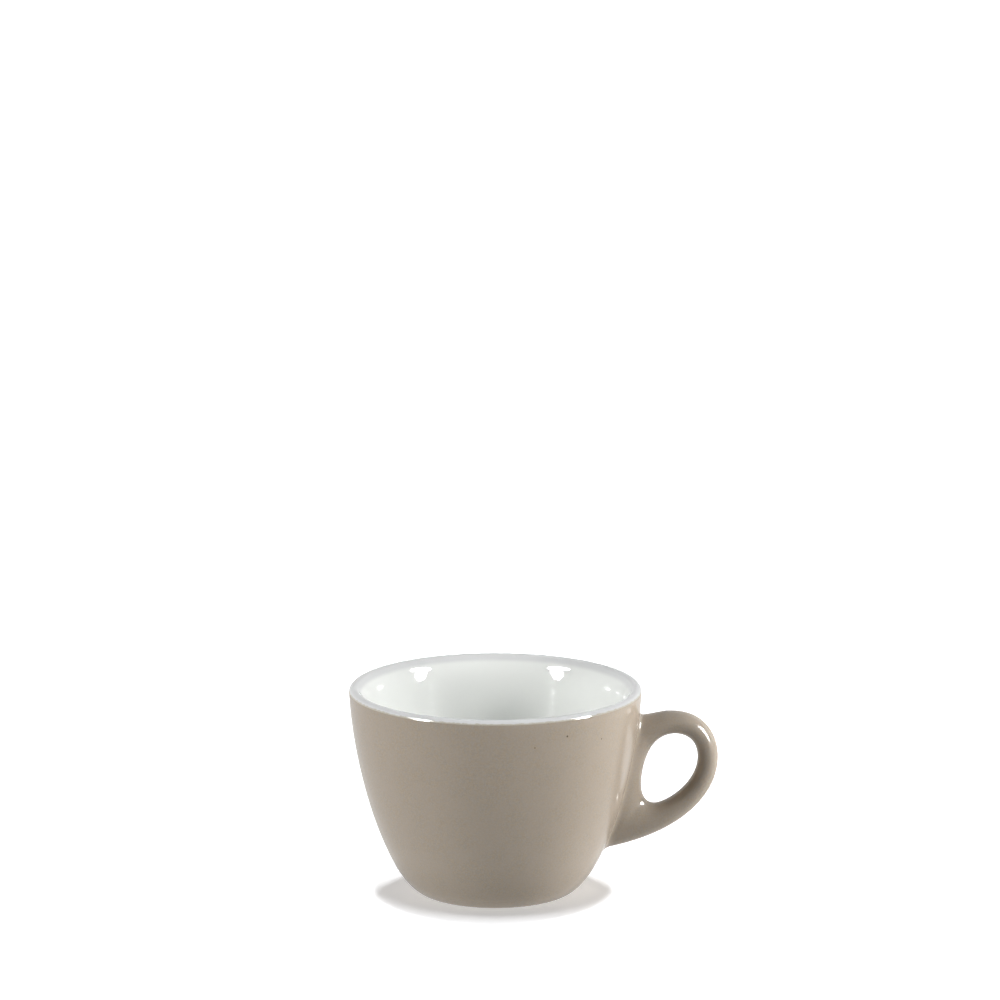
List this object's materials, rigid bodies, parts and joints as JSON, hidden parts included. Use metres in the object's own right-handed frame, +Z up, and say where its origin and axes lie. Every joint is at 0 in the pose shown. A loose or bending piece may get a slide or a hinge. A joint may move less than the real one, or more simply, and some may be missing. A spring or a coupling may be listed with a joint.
{
  "type": "cappuccino cup",
  "caption": "Rounded ceramic coffee cup on a low foot ring, white inside, satin taupe outside, with a closed ring handle joined down the bowl's side.",
  "frame": {"origin": "the bowl's axis at the level of the table, which is the centre of the foot ring's standing face", "axes": "+Z up along the bowl's axis, +X from the axis towards the handle"},
  "size_m": [0.1136, 0.09, 0.0639],
  "materials": {
    "clay": "bare fired white clay, smooth matt",
    "slip": "fired slip, matt",
    "white_glaze": "white gloss glaze",
    "taupe_glaze": "satin taupe glaze with a fine mottle"
  },
  "bodies": {
    "root": {"cup_body": "clay", "handle": "clay", "slip_joint": "slip", "inner_glaze": "white_glaze", "outer_glaze": "taupe_glaze", "handle_glaze": "taupe_glaze", "base_glaze": "white_glaze"}
  },
  "joints": []
}
